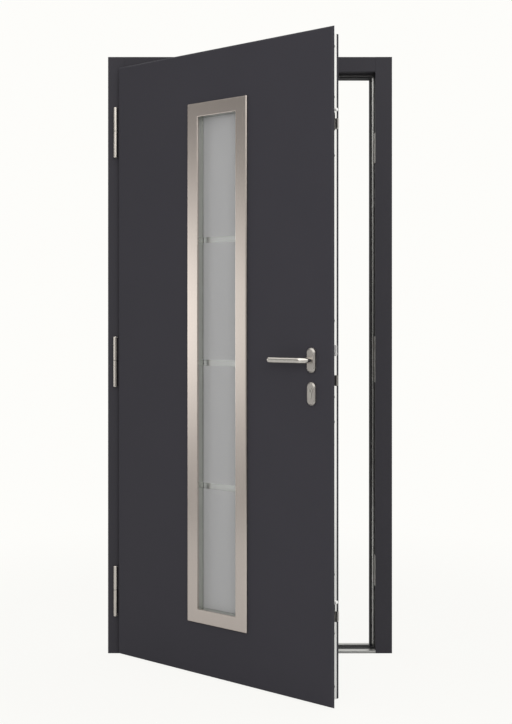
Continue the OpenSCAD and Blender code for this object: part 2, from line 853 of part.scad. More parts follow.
// Surround of the light, folded from sheet: bevelled face and a sleeve that reaches to the gasket
module surround(reach) {
    bevel = 2;
    face_y = leaf_y0 - light_rise;
    difference() {
        hull() {
            centred(0, light_w, [face_y + bevel, leaf_y0], light_z, light_h);
            centred(0, light_w - 2 * bevel, [face_y, leaf_y0], light_z, light_h - 2 * bevel);
        }
        centred(0, light_w - 2 * bevel - 1, [face_y + sheet_t, leaf_y0 + cut],
            light_z, light_h - 2 * bevel - 1);
        centred(0, open_w, [face_y - cut, leaf_y0 + cut], light_z, open_h);
    }
    light_ring(0, sheet_t, [face_y + bevel / 2, leaf_y0 + reach - gasket_t]);
}

module front_surround() { color(steel) on_leaf() surround(pane_in); }
module rear_surround() { color(steel) on_leaf() at_rear() surround(leaf_y1 - pack_y1); }

// Ring round the light between two distances from the sight line
module light_ring(a, b, y) {
    difference() {
        centred(0, open_w + 2 * b, y, light_z, open_h + 2 * b);
        centred(0, open_w + 2 * a, [y[0] - cut, y[1] + cut], light_z, open_h + 2 * a);
    }
}

module front_pane() {
    color(glass) on_leaf()
        centred(0, pane_w, [pack_y0, pack_y0 + pane_t], light_z, pane_h);
}

module rear_pane() {
    color(glass) on_leaf()
        centred(0, pane_w, [pack_y1 - pane_t, pack_y1], light_z, pane_h);
}

module pane_spacer() {
    color(dull_metal) on_leaf()
        light_ring(1, pane_edge - 1, [pack_y0 + pane_t, pack_y1 - pane_t]);
}

module glazing_gaskets() {
    color(rubber) on_leaf() {
        light_ring(play, pane_edge - 1, [pack_y0 - gasket_t, pack_y0]);
        light_ring(play, pane_edge - 1, [pack_y1, pack_y1 + gasket_t]);
    }
}

// Slot of a hook through strip or case front, above and below its pivot
function hook_slot(z) = [z - hook_arm / 2 - hook_room, z + hook_sweep + 1];

// Long strip in the leaf edge with an opening for every bolt
module lock_strip() {
    x = [strip_back - cut, body_x + cut];
    color(bright) on_leaf()
        difference() {
            block([strip_back, body_x], [lock_y - strip_w / 2, lock_y + strip_w / 2],
                [body_z0 + 1, body_z1 - 1]);
            for (z = [upper_unit_z, lower_unit_z]) {
                block(x, [lock_y - hook_t / 2 - play, lock_y + hook_t / 2 + play], hook_slot(z));
                round_x(round_bolt_d + 2 * run_play, x[0], x[1], lock_y, z + round_bolt_up);
            }
            block(x, [lock_y - bolt_t / 2 - play, lock_y + bolt_t / 2 + play],
                [bolt_z - bolt_h / 2 - play, bolt_z + bolt_h / 2 + play]);
            block(x, [lock_y - latch_t / 2 - play, lock_y + latch_t / 2 + play],
                [latch_z - latch_h / 2 - play, latch_z + latch_h / 2 + play]);
            for (z = strip_screws)
                screw_room(body_x, -1, lock_y, z, strip_screw_len);
            screw_room(body_x, -1, lock_y, cyl_screw_z, strip_screw_len);
            round_x(cyl_screw_d + 2 * play, x[0], x[1], lock_y, cyl_screw_z);
        }
}

// Hollow sheet case from x0 to the case front
module case_shell(x0, z) {
    difference() {
        block([x0, case_x1], [lock_y - case_t / 2, lock_y + case_t / 2], z);
        block([x0 + case_wall, case_x1 - case_wall],
            [lock_y - case_t / 2 + case_wall, lock_y + case_t / 2 - case_wall],
            [z[0] + case_wall, z[1] - case_wall]);
    }
}

// Slot in a case front for a drive rod's tab
module tab_slot(z0, z1) {
    half = tab_w / 2 + play;
    block([case_x1 - case_wall - cut, case_x1 + cut], [lock_y - half, lock_y + half], [z0, z1]);
}

module main_lock_case() {
    x = [case_x1 - case_wall - cut, case_x1 + cut];
    y0 = lock_y - case_t / 2 - cut;
    y1 = lock_y + case_t / 2 + cut;
    color(dull_metal) on_leaf()
        difference() {
            case_shell(case_x0, [case_z0, case_z1]);
            block(x, [lock_y - bolt_t / 2 - play, lock_y + bolt_t / 2 + play],
                [bolt_z - bolt_h / 2 - play, bolt_z + bolt_h / 2 + play]);
            block(x, [lock_y - latch_t / 2 - play, lock_y + latch_t / 2 + play],
                [latch_z - latch_h / 2 - play, latch_z + latch_h / 2 + play]);
            round_y(hub_d + 2 * run_play, y0, y1, lever_x, lever_z);
            along_y(y0, y1) cylinder_outline(play);
            for (s = [-1, 1])
                round_y(handle_bolt_d + 2 * play, y0, y1, lever_x, lever_z + s * rose_bolt_gap);
            round_x(cyl_screw_d + 2 * play, x[0], x[1], lock_y, cyl_screw_z);
            tab_slot(upper_rod_z0 + tab_in - rod_travel - tab_play, upper_rod_z0 + tab_in + tab_h + tab_play);
            tab_slot(lower_rod_z1 - tab_in - tab_h - tab_play, lower_rod_z1 - tab_in + rod_travel + tab_play);
        }
}

// Case of a hook and a round bolt, with the hook's pivot across it
module unit_case(z, ends, slot) {
    color(dull_metal) on_leaf() {
        difference() {
            case_shell(unit_x0, ends);
            block([case_x1 - case_wall - cut, case_x1 + cut],
                [lock_y - hook_t / 2 - play, lock_y + hook_t / 2 + play], hook_slot(z));
            round_x(round_bolt_d + 2 * play, case_x1 - case_wall - cut, case_x1 + cut,
                lock_y, z + round_bolt_up);
            tab_slot(slot[0], slot[1]);
        }
        round_y(2 * pivot_r, lock_y - case_t / 2 + case_wall, lock_y + case_t / 2 - case_wall,
            pivot_x, z);
    }
}

module upper_lock_case() {
    unit_case(upper_unit_z, upper_case_z,
        [upper_rod_z1 - tab_stroke, upper_rod_z1 - tab_in + tab_play]);
}

module lower_lock_case() {
    unit_case(lower_unit_z, lower_case_z,
        [lower_rod_z0 + tab_in - tab_play, lower_rod_z0 + tab_stroke]);
}

module cylinder_body() {
    color(bright) on_leaf()
        difference() {
            along_y(cyl_y0, cyl_y1) cylinder_outline(0);
            round_y(2 * (plug_r + run_play), cyl_y0 - cut, cyl_y1 + cut, lever_x, cyl_z);
            block([lever_x - cyl_r - cut, lever_x + cyl_r + cut],
                [lock_y - cam_t / 2 - play, lock_y + cam_t / 2 + play],
                [cyl_z - cam_nose - play, cyl_z + cyl_r + cut]);
            round_x(cyl_screw_d + 2 * run_play, lever_x - cyl_drop_r - cut, lever_x + cyl_r + cut,
                lock_y, cyl_screw_z);
        }
}

// Long screw from the strip that holds the cylinder
module cylinder_screw() {
    color(dull_metal) on_leaf() {
        round_x(cyl_screw_d, lever_x - cyl_drop_r, body_x, lock_y, cyl_screw_z);
        translate([body_x, lock_y, cyl_screw_z])
            rotate([0, -90, 0])
                cylinder(h = screw_head_t, d1 = screw_head_d, d2 = screw_d);
    }
}

// Oval plate with a bevelled rim, standing off the leaf face at height z
module oval_plate(w, h, t, z) {
    r = w / 2;
    rim = t * 0.6;
    bevel = t - rim;
    half = (h - w) / 2;
    translate([lever_x, leaf_y0, z]) {
        for (s = [-1, 1])
            translate([0, 0, s * half])
                rotate([90, 0, 0]) {
                    cylinder(h = rim, r = r);
                    translate([0, 0, rim]) cylinder(h = bevel, r1 = r, r2 = r - bevel);
                }
        translate([0, 0, -half])
            linear_extrude(2 * half)
                polygon([[-r, 0], [-r, -rim], [bevel - r, -t], [r - bevel, -t], [r, -rim], [r, 0]]);
    }
}

module rose() {
    difference() {
        oval_plate(rose_w, rose_h, rose_t, lever_z);
        round_y(lever_d + 2 * run_play, leaf_y0 - rose_t - cut, leaf_y0 + cut, lever_x, lever_z);
        for (s = [-1, 1])
            round_y(handle_bolt_d + 2 * run_play, leaf_y0 - bolt_grip - 1, leaf_y0 + cut,
                lever_x, lever_z + s * rose_bolt_gap);
    }
}

module key_cover() {
    difference() {
        oval_plate(cover_w, cover_h, cover_t, cyl_z - cover_drop);
        along_y(leaf_y0 - cover_t - cut, leaf_y0 + cut) cylinder_outline(play);
    }
}

module front_rose() { color(steel) on_leaf() rose(); }
module rear_rose() { color(steel) on_leaf() at_rear() rose(); }
module front_key_cover() { color(steel) on_leaf() key_cover(); }
module rear_key_cover() { color(steel) on_leaf() at_rear() key_cover(); }

module handle_bolts() {
    color(dull_metal) on_leaf()
        for (s = [-1, 1])
            round_y(handle_bolt_d, leaf_y0 - bolt_grip, leaf_y1 + bolt_grip,
                lever_x, lever_z + s * rose_bolt_gap);
}

// Limits in rising order
function span(a, b) = [min(a, b), max(a, b)];

// Round lever on the leaf face at y, standing out to side -1 or 1: neck, bend and domed grip
module lever(face, side) {
    r = lever_d / 2;
    grip_y = face + side * lever_out;
    base_y = face + side * neck_gap;
    bend_y = grip_y - side * lever_bend;
    neck = span(bend_y, base_y);
    difference() {
        union() {
            round_y(lever_d, neck[0], neck[1], lever_x, lever_z);
            translate([lever_x - lever_bend, bend_y, lever_z])
                rotate([0, 0, side < 0 ? -90 : 0])
                    rotate_extrude(angle = 90)
                        translate([lever_bend, 0]) circle(r);
            round_x(lever_d, lever_x - lever_len + r, lever_x - lever_bend, grip_y, lever_z);
            translate([lever_x - lever_len + r, grip_y, lever_z]) sphere(r);
        }
        centred(lever_x, spindle_s + 2 * spindle_play,
            span(face + side * (spindle_grip + cut), base_y - side * cut),
            lever_z, spindle_s + 2 * spindle_play);
    }
}

module front_lever() { color(steel) on_leaf() lever(leaf_y0, -1); }
module rear_lever() { color(steel) on_leaf() lever(leaf_y1, 1); }

module spindle() {
    color(dull_metal) on_leaf()
        centred(lever_x, spindle_s, [leaf_y0 - spindle_grip, leaf_y1 + spindle_grip],
            lever_z, spindle_s);
}

// Hub in the lock case that the spindle turns, with the arm that draws the latch
module follower() {
    color(dull_metal) on_leaf()
        difference() {
            union() {
                round_y(hub_d, lock_y - case_t / 2, lock_y + case_t / 2, lever_x, lever_z);
                round_y(hub_d + hub_flange, lock_y - hub_flange_t / 2, lock_y + hub_flange_t / 2,
                    lever_x, lever_z);
                block([lever_x - arm_w / 2, lever_x + arm_w / 2],
                    [lock_y - arm_t / 2, lock_y + arm_t / 2], [lever_z, lever_z + arm_r]);
            }
            centred(lever_x, spindle_s + 2 * spindle_play, [lock_y - case_t, lock_y + case_t],
                lever_z, spindle_s + 2 * spindle_play);
        }
}

// Bevelled latch with the tail and lug that the follower's arm draws
module latch_bolt() {
    tip = body_x + latch_throw;
    back = case_x1 - latch_body;
    t = latch_t / 2;
    tip_t = 2;
    lug_x = lever_x - arm_w / 2 - lug_gap;
    tail_y = [lock_y - tail_t / 2, lock_y + tail_t / 2];
    color(bright) on_leaf() {
        translate([0, lock_y, latch_z - latch_h / 2])
            linear_extrude(latch_h)
                polygon([[back, -t], [tip, -t], [tip, tip_t - t], [body_x + 1, t], [back, t]]);
        block([lug_x - lug_w, back + cut], tail_y, [tail_z0, tail_z1]);
        block([lug_x - lug_w, lug_x], tail_y, [lever_z + arm_r - lug_drop, tail_z1]);
    }
}

// Turning plug with a key slot
module plug(y0, y1, mouth) {
    color(bright) on_leaf()
        difference() {
            round_y(2 * plug_r, y0, y1, lever_x, cyl_z);
            block([lever_x - key_slot_w / 2, lever_x + key_slot_w / 2], mouth,
                [cyl_z - key_slot_down, cyl_z + key_slot_up]);
        }
}

module front_plug() { plug(cyl_y0, lock_y - play, [cyl_y0 - cut, cyl_y0 + key_slot_len]); }
module rear_plug() { plug(lock_y + play, cyl_y1, [cyl_y1 - key_slot_len, cyl_y1 + cut]); }

// Cam ring on the plugs with the nose that throws the bolts
module cylinder_cam() {
    color(dull_metal) on_leaf()
        along_y(lock_y - cam_t / 2, lock_y + cam_t / 2)
            translate([lever_x, cyl_z])
                difference() {
                    union() {
                        circle(cam_r);
                        intersection() {
                            circle(cam_nose);
                            translate([-cam_w / 2, -cam_nose]) square([cam_w, cam_nose]);
                        }
                    }
                    circle(plug_r + run_play);
                }
}

module dead_bolt() {
    tip = body_x + bolt_throw;
    back = case_x1 - bolt_body;
    t = bolt_t / 2;
    edge = 1.5;
    color(dull_metal) on_leaf()
        translate([0, lock_y, bolt_z - bolt_h / 2])
            linear_extrude(bolt_h)
                polygon([[back, -t], [tip - edge, -t], [tip, edge - t], [tip, t - edge],
                    [tip - edge, t], [back, t]]);
}

// Flat rod behind the strip with slots for the strip's screws and a tab at each end
module drive_rod(z0, z1, shift) {
    slot = screw_d / 2 + tab_play;
    color(dull_metal) on_leaf()
        difference() {
            union() {
                block([rod_x0, rod_x1], [lock_y - rod_w / 2, lock_y + rod_w / 2], [z0, z1]);
                for (z = [z0 + tab_in, z1 - tab_in - tab_h])
                    block([rod_x0 - tab_len, rod_x1], [lock_y - tab_w / 2, lock_y + tab_w / 2],
                        [z, z + tab_h]);
            }
            for (z = strip_screws)
                block([rod_x0 - cut, rod_x1 + cut], [lock_y - screw_d / 2 - 1, lock_y + screw_d / 2 + 1],
                    [z - slot + min(shift, 0), z + slot + max(shift, 0)]);
        }
}

module upper_drive_rod() { drive_rod(upper_rod_z0, upper_rod_z1, rod_travel); }
module lower_drive_rod() { drive_rod(lower_rod_z0, lower_rod_z1, -rod_travel); }

// Claw on its pivot: boss, arm and a nose with a hollow flank
module hook(z) {
    half = hook_arm / 2;
    nose_w = 11;
    flank_r = hook_rise - half;
    color(dull_metal) on_leaf()
        along_y(lock_y - hook_t / 2, lock_y + hook_t / 2)
            translate([pivot_x, z])
                difference() {
                    union() {
                        circle(half + 2);
                        translate([0, -half]) square([hook_reach - half, 2 * half]);
                        translate([hook_reach - half, 0]) circle(half);
                        translate([hook_reach - nose_w - flank_r, 0])
                            square([nose_w + flank_r, hook_rise]);
                    }
                    translate([hook_reach - nose_w - flank_r, hook_rise]) circle(flank_r);
                    translate([hook_reach - nose_w - 2 * flank_r, half])
                        square([flank_r, hook_rise]);
                    circle(pivot_r + run_play);
                }
}

module upper_hook() { hook(upper_unit_z); }
module lower_hook() { hook(lower_unit_z); }

// Round bolt with a domed tip
module round_bolt(z) {
    len = round_bolt_len;
    dome = 2;
    r = round_bolt_d / 2;
    color(bright) on_leaf()
        translate([body_x + round_bolt_throw - len, lock_y, z + round_bolt_up])
            rotate([0, 90, 0]) {
                cylinder(h = len - dome, r = r);
                translate([0, 0, len - dome]) cylinder(h = dome, r1 = r, r2 = r - dome);
            }
}

module upper_round_bolt() { round_bolt(upper_unit_z); }
module lower_round_bolt() { round_bolt(lower_unit_z); }

hinge_jamb();
lock_jamb();
head_rail();
threshold();
threshold_insert();
stop_strips();
frame_seal();
upper_strike();
main_strike();
lower_strike();
frame_screws();
upper_hinge_frame_half();
middle_hinge_frame_half();
lower_hinge_frame_half();
hinge_pins();
hinge_bearings();
front_skin();
rear_skin();
foam_core();
lock_stile();
hinge_stile();
top_rail();
bottom_rail();
bottom_seal();
upper_hinge_leaf_half();
middle_hinge_leaf_half();
lower_hinge_leaf_half();
leaf_screws();
front_surround();
rear_surround();
front_pane();
rear_pane();
pane_spacer();
glazing_gaskets();
lock_strip();
main_lock_case();
upper_lock_case();
lower_lock_case();
cylinder_body();
cylinder_screw();
front_rose();
rear_rose();
front_key_cover();
rear_key_cover();
handle_bolts();
front_lever();
rear_lever();
spindle();
follower();
latch_bolt();
front_plug();
rear_plug();
cylinder_cam();
dead_bolt();
upper_drive_rod();
lower_drive_rod();
upper_hook();
lower_hook();
upper_round_bolt();
lower_round_bolt();
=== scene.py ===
import json
import math

import bmesh
import bpy
from mathutils import Matrix, Vector


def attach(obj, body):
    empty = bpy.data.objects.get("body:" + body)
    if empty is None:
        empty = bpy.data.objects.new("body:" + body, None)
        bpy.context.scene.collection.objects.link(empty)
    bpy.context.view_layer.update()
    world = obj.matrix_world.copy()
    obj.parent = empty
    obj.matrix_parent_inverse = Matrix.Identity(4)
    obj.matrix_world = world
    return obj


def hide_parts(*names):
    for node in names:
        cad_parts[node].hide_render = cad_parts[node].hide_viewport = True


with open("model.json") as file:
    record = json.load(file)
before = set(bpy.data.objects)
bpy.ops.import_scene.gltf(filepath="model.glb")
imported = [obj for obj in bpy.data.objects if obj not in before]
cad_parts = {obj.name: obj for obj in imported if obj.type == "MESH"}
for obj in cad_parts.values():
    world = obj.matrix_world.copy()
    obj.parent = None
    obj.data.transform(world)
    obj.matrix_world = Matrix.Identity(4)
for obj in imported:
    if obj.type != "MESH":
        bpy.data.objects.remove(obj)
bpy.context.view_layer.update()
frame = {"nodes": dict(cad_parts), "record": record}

# The studio: a pale floor that runs into a white surround, one large soft box in front and one
# overhead, a bright window in a dim wall to the left, and a camera a little above the lever.
scene = bpy.context.scene
scene.view_settings.view_transform = "Standard"


class Shade:
    """A shader socket: arithmetic on it adds Math nodes, and node() adds any other node."""

    def __init__(self, tree, socket=None):
        self.tree = tree
        self.socket = socket

    def node(self, kind, settings=None, inputs=None, output=0):
        made = self.tree.nodes.new("ShaderNode" + kind)
        for name, value in (settings or {}).items():
            if name == "stops":
                ramp = made.color_ramp.elements
                while len(ramp) < len(value):
                    ramp.new(1.0)
                for element, (place, colour) in zip(ramp, value):
                    element.position = place
                    element.color = colour
            else:
                setattr(made, name, value)
        for key, value in (inputs or {}).items():
            if isinstance(value, Shade):
                self.tree.links.new(value.socket, made.inputs[key])
            else:
                made.inputs[key].default_value = value
        return Shade(self.tree, made.outputs[output]) if made.outputs else None

    def maths(self, operation, first, second):
        return self.node("Math", {"operation": operation}, {0: first, 1: second})

    def step(self, low, high):
        """A smooth rise from 0 at low to 1 at high."""
        return self.node("MapRange", {"interpolation_type": "SMOOTHSTEP"},
                         {"Value": self, "From Min": low, "From Max": high})

    def __add__(self, other):
        return self.maths("ADD", self, other)

    def __radd__(self, other):
        return self.maths("ADD", other, self)

    def __sub__(self, other):
        return self.maths("SUBTRACT", self, other)

    def __rsub__(self, other):
        return self.maths("SUBTRACT", other, self)

    def __mul__(self, other):
        return self.maths("MULTIPLY", self, other)

    def __rmul__(self, other):
        return self.maths("MULTIPLY", other, self)


def new_finish(name):
    """An empty material and the start of its shader."""
    material = bpy.data.materials.new(name)
    material.use_nodes = True
    material.node_tree.nodes.clear()
    return material, Shade(material.node_tree)


def cover_with(surface):
    """Makes a shader the surface of its material."""
    surface.node("OutputMaterial", {}, {"Surface": surface})


def own_place(start):
    """The place of a point on its piece."""
    return start.node("TexCoord", output="Object")


def seen_straight(start):
    """1 for what the camera sees, directly or through glass, and 0 for other rays."""
    camera_ray, through_ray = (
        start.node("LightPath", output=f"Is {kind} Ray") for kind in ("Camera", "Transmission"))
    return start.maths("MAXIMUM", camera_ray, through_ray)


paper_white = (0.985, 0.98, 0.955, 1)
ambient_level = 0.66
left_wall_turn = (0.6, 0.9)
front_wall_turn = (-0.2, 0.15)
window_level = 1.85
window_side = (-0.33, -0.06)
window_foot = (-0.15, 0.01)
window_head = (0.01, 0.18)
left_wall_level, left_wall_fall = 0.44, 0.16
left_horizon = (-0.05, 0.12)
front_wall_level, front_wall_rise, front_wall_glow = 0.24, 1.35, 0.35
front_horizon = (0.05, 0.24)
front_wall_side = (0.0, 0.5)

world = bpy.data.worlds.new("white_studio")
scene.world = world
world.use_nodes = True
world.node_tree.nodes.clear()
sky = Shade(world.node_tree)
heading = sky.node("TexCoord", output="Generated")
side, depth, height = (sky.node("SeparateXYZ", {}, {0: heading}, axis) for axis in "XYZ")
to_left = (-1 * side).step(*left_wall_turn)
to_front = (-1 * depth).step(*front_wall_turn)
window_height = height.step(*window_foot) * (1 - height.step(*window_head))
window = window_level * depth.step(*window_side) * window_height
left_wall = left_wall_level - left_wall_fall * height.step(*left_horizon) + window
front_wall = front_wall_level + front_wall_rise * height.step(*front_horizon)
front_wall = front_wall + front_wall_glow * (-1 * side).step(*front_wall_side)
studio = 1 + to_front * (front_wall - 1)
studio = studio + to_left * (left_wall - studio)
glossy_ray = sky.node("LightPath", output="Is Glossy Ray")
mirrored = sky.node("Background", {}, {"Color": paper_white, "Strength": studio})
ambient = sky.node("Background", {}, {"Color": (1, 1, 1, 1), "Strength": ambient_level})
white = sky.node("Background", {}, {"Color": paper_white, "Strength": 1.0})
lit = sky.node("MixShader", {}, {0: glossy_ray, 1: ambient, 2: mirrored})
seen = sky.node("MixShader", {}, {0: seen_straight(sky), 1: lit, 2: white})
sky.node("OutputWorld", {}, {"Surface": seen})

floor_half = 3.0
floor_tone = (0.76, 0.76, 0.745, 1)
floor_shadow = 0.08
shadow_reach = (0.9, 2.6)
floor_mesh = bmesh.new()
bmesh.ops.create_grid(floor_mesh, x_segments=1, y_segments=1, size=floor_half)
floor_data = bpy.data.meshes.new("floor")
floor_mesh.to_mesh(floor_data)
floor_mesh.free()
floor = bpy.data.objects.new("floor", floor_data)
scene.collection.objects.link(floor)
pale, start = new_finish("pale_floor")
matt = start.node("BsdfDiffuse", {}, {"Color": floor_tone})
glow = start.node("Emission", {}, {"Color": paper_white, "Strength": 1.0})
reach = start.node("VectorMath", {"operation": "LENGTH"}, {0: own_place(start)}, "Value")
blank = seen_straight(start) * (1 - floor_shadow * (1 - reach.step(*shadow_reach)))
cover_with(start.node("MixShader", {}, {0: blank, 1: matt, 2: glow}))
floor_data.materials.append(pale)


def soft_box(name, place, target, width, height, watts):
    """A rectangular studio lamp that faces its target and shows in no metal or glass."""
    data = bpy.data.lights.new(name, "AREA")
    data.shape = "RECTANGLE"
    data.size = width
    data.size_y = height
    data.energy = watts
    lamp = bpy.data.objects.new(name, data)
    lamp.location = place
    lamp.rotation_euler = (Vector(target) - Vector(place)).to_track_quat("-Z", "Y").to_euler()
    lamp.visible_glossy = lamp.visible_transmission = False
    scene.collection.objects.link(lamp)


soft_box("front_box", place=(0.5, -4.6, 2.0), target=(0, -0.2, 1.05), width=3.0, height=2.4, watts=90)
soft_box("top_box", place=(0.3, -0.8, 4.6), target=(0.1, -0.3, 0), width=3.0, height=3.0, watts=30)

camera_data = bpy.data.cameras.new("camera")
camera = bpy.data.objects.new("camera", camera_data)
camera.location = (0.021, -4.041, 1.166)
camera.rotation_euler = (math.radians(90), 0, 0)
camera_data.sensor_width = 36.0
camera_data.lens = 56.5
camera_data.shift_y = -0.055
scene.collection.objects.link(camera)
scene.camera = camera


# The frame: hollow aluminium profiles with a rebate and a stop, butted at the head and screwed
# together, covered in a fine-textured anthracite powder coat that is baked on before assembly.
def dress(material, *names):
    """Gives CAD pieces their finish."""
    for name in names:
        slots = frame["nodes"][name].data.materials
        slots.clear()
        slots.append(material)


def soften(width, *names):
    """Breaks the sharp edges of CAD pieces, as folding, drawing or deburring does."""
    for name in names:
        piece = frame["nodes"][name]
        weld = piece.modifiers.new("weld", "WELD")
        weld.merge_threshold = 1e-5
        edge = piece.modifiers.new("edge", "BEVEL")
        edge.width = width
        edge.segments = 2
        edge.limit_method = "ANGLE"
        edge.angle_limit = math.radians(40)
        even = piece.modifiers.new("even", "WEIGHTED_NORMAL")
        even.keep_sharp = True


def mottle(place, scale, detail, roughness):
    """Noise over a piece, from 0 to 1."""
    return place.node("TexNoise", {}, {
        "Vector": place, "Scale": scale, "Detail": detail, "Roughness": roughness})


def tone_of(share, dark, light, low=0.3, high=0.7):
    """A colour that runs from dark to light while the share runs from low to high."""
    stops = [(low, (*dark, 1)), (high, (*light, 1))]
    return share.node("ValToRGB", {"stops": stops}, {0: share})


def relief(height, strength, distance):
    """The bumps of a fine surface."""
    return height.node("Bump", {}, {"Strength": strength, "Distance": distance, "Height": height})


def baked_paint(start, dark, light, matt_level):
    """Powder coat: a fine sandy texture, a faint drift of tone and a low gloss."""
    place = own_place(start)
    grit = mottle(place, scale=1100.0, detail=2.0, roughness=0.6)
    drift = mottle(place, scale=5.0, detail=3.0, roughness=0.5)
    return start.node("BsdfPrincipled", {}, {
        "Base Color": tone_of(0.5 * grit + 0.5 * drift, dark, light),
        "Roughness": matt_level + 0.08 * drift,
        "Specular IOR Level": 0.14,
        "Normal": relief(grit, strength=0.1, distance=0.0003)})


profiles = ("hinge_jamb", "lock_jamb", "head_rail")
profile_edge = 0.0008
frame_paint = {"dark": (0.035, 0.0335, 0.039), "light": (0.039, 0.037, 0.043), "matt_level": 0.56}
frame_coat, start = new_finish("frame_powder_coat")
cover_with(baked_paint(start, **frame_paint))
dress(frame_coat, *profiles)
soften(profile_edge, *profiles)


# The threshold: a low extruded aluminium sill with a bright nose and an upstand at the rear,
# milled flat at its ends, with a black plastic strip clipped in as a thermal break.
def along_grain(place, grain, turn):
    """Places counted in lengths of the grain, turned about the upright."""
    return place.node("Mapping", {"vector_type": "TEXTURE"}, {
        "Vector": place, "Rotation": (0, 0, turn), "Scale": grain})


def brushed(start, colour, matt_level, grain, turn=0.0, streak=0.1, bare_share=1.0):
    """Bare metal with fine lines along the way it was drawn or brushed."""
    place = own_place(start)
    lines = mottle(along_grain(place, grain, turn), scale=1.0, detail=3.0, roughness=0.65)
    drift = mottle(place, scale=9.0, detail=2.0, roughness=0.5)
    dull = tuple(part * (1 - streak) for part in colour)
    return start.node("BsdfPrincipled", {}, {
        "Base Color": tone_of(0.7 * lines + 0.3 * drift, dull, colour),
        "Metallic": bare_share,
        "Roughness": matt_level + 0.08 * lines,
        "Normal": relief(lines, strength=0.04, distance=0.00004)})


def drawn_metal(name, **look):
    """A material of bare metal alone."""
    metal, start = new_finish(name)
    cover_with(brushed(start, **look))
    return metal


def moulded(name, colour, matt_level, fineness):
    """Plastic or rubber with a fine moulded skin."""
    skin, start = new_finish(name)
    grit = mottle(own_place(start), scale=fineness, detail=3.0, roughness=0.6)
    worn = tuple(part * 1.35 for part in colour)
    cover_with(start.node("BsdfPrincipled", {}, {
        "Base Color": tone_of(grit, colour, worn, low=0.35, high=0.75),
        "Roughness": matt_level + 0.1 * grit,
        "Specular IOR Level": 0.3,
        "Normal": relief(grit, strength=0.15, distance=0.0003)}))
    return skin


crosswise = (0.12, 0.0005, 0.0005)
upright = (0.0005, 0.0005, 0.12)
deburred_edge = 0.0006
sill_metal = drawn_metal("mill_aluminium", colour=(0.47, 0.47, 0.46), matt_level=0.3, grain=crosswise)
black_plastic = moulded("black_plastic", colour=(0.022, 0.022, 0.024), matt_level=0.45, fineness=700.0)
dress(sill_metal, "threshold")
dress(black_plastic, "threshold_insert")
soften(deburred_edge, "threshold")


# The stop: a bright aluminium strip fixed along the stop of jambs and head, with a black
# cellular rubber seal pressed in beside it that the rear of the leaf closes on.
strip_metal = drawn_metal("stop_strip_aluminium", colour=(0.92, 0.91, 0.89), matt_level=0.16, grain=upright)
seal_rubber = moulded("seal_rubber", colour=(0.011, 0.011, 0.012), matt_level=0.62, fineness=900.0)
dress(strip_metal, "stop_strips")
dress(seal_rubber, "frame_seal")


# The strikes: stamped stainless plates let into the rebate of the lock jamb, each with an
# opening for its bolts and a countersunk screw near either end.
plate_steel = drawn_metal("strike_steel", colour=(0.62, 0.6, 0.57), matt_level=0.26, grain=upright)
dress(plate_steel, "upper_strike", "main_strike", "lower_strike")


# The hinges: turned and welded stainless steel, the lower half of each on the frame, with a
# hardened pin and a black plastic bearing washer. Feet and straps are painted with the frame.
swing = next(joint for joint in frame["record"]["behaviour"]["joints"] if joint["name"] == "door_swing")
hinge_axis = (*swing["pos_m"][:2], 0)
hinge_levels = ("upper", "middle", "lower")
knuckle_r = 0.0073
paint_edge = 0.0003
hinge_steel, start = new_finish("hinge_steel")
level_place = start.node("VectorMath", {"operation": "MULTIPLY"}, {0: own_place(start), 1: (1, 1, 0)})
from_axis = start.node("VectorMath", {"operation": "DISTANCE"}, {0: level_place, 1: hinge_axis}, "Value")
cover_with(start.node("MixShader", {}, {
    0: from_axis.step(knuckle_r, knuckle_r + paint_edge),
    1: brushed(start, colour=(0.7, 0.65, 0.6), matt_level=0.14, grain=upright),
    2: baked_paint(start, **frame_paint)}))
pin_steel = drawn_metal("pin_steel", colour=(0.55, 0.55, 0.56), matt_level=0.2, grain=upright)
frame_halves = [f"{level}_hinge_frame_half" for level in hinge_levels]
dress(hinge_steel, *frame_halves)
dress(pin_steel, "hinge_pins")
dress(black_plastic, "hinge_bearings")
soften(deburred_edge, *frame_halves)


# The frame's screws: countersunk zinc-plated steel with a cross recess, turned flush into the
# strikes and the hinge straps.
def islands(node):
    """The corners of each separate solid in a CAD piece."""
    copy = bmesh.new()
    copy.from_mesh(frame["nodes"][node].data)
    bmesh.ops.remove_doubles(copy, verts=copy.verts, dist=1e-6)
    copy.verts.index_update()
    reached, groups = set(), []
    for first in copy.verts:
        if first.index in reached:
            continue
        reached.add(first.index)
        queue, group = [first], []
        while queue:
            corner = queue.pop()
            group.append(corner.co.copy())
            for edge in corner.link_edges:
                other = edge.other_vert(corner)
                if other.index not in reached:
                    reached.add(other.index)
                    queue.append(other)
        groups.append(group)
    copy.free()
    return groups


def cross_recess(corner, arm, slot):
    """Draws one corner of a ring in to the outline of a cross-shaped driver recess."""
    angle = math.atan2(corner.co.y, corner.co.x) % (math.pi / 2)
    angle = min(angle, math.pi / 2 - angle)
    reach = arm / math.cos(angle)
    if math.sin(angle) > 1e-6:
        reach = min(reach, slot / math.sin(angle))
    corner.co.xy = corner.co.xy.normalized() * reach


